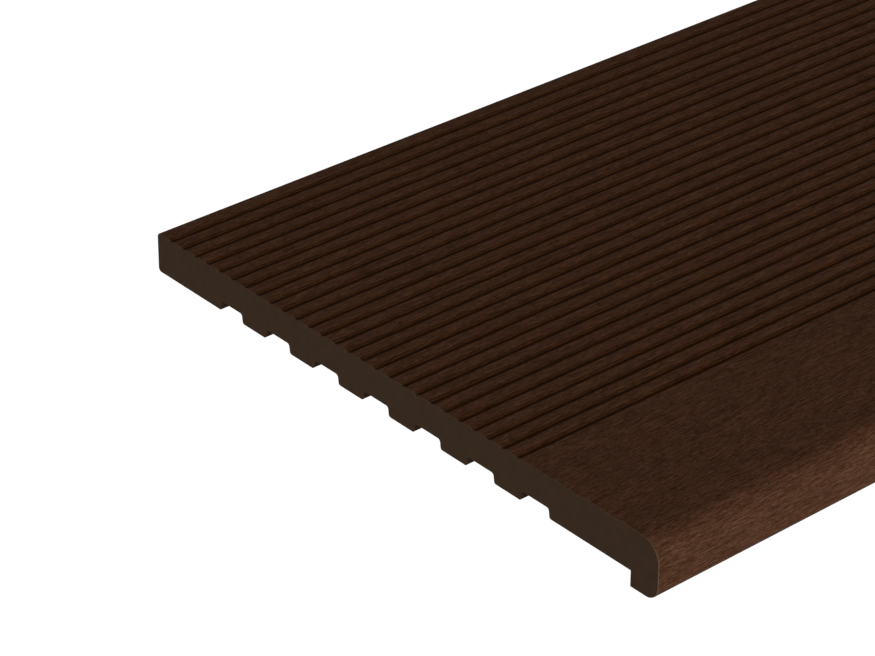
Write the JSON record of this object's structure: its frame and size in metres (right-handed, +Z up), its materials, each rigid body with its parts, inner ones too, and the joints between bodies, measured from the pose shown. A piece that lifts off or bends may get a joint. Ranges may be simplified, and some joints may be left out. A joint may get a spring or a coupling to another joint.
{
  "type": "spa step tread",
  "caption": "Bullnose composite step board with a ribbed anti-slip top, a flat nosing band, a hanging drip lip and lengthwise channels under it.",
  "frame": {"origin": "centre of the bounding box in X and Y, on the level of the lip's lower face", "axes": "+X along the board, -Y towards the nosing, +Z up out of the tread surface"},
  "size_m": [0.6, 0.3464, 0.029],
  "materials": {
    "composite_core": "plain extruded wood-plastic composite, saw-cut at the ends, olive brown",
    "brushed_cap": "coextruded wood-plastic cap, brushed lengthwise, red brown, dull sheen"
  },
  "bodies": {
    "root": {"tread_core": "composite_core", "cap_layer": "brushed_cap"}
  },
  "joints": []
}
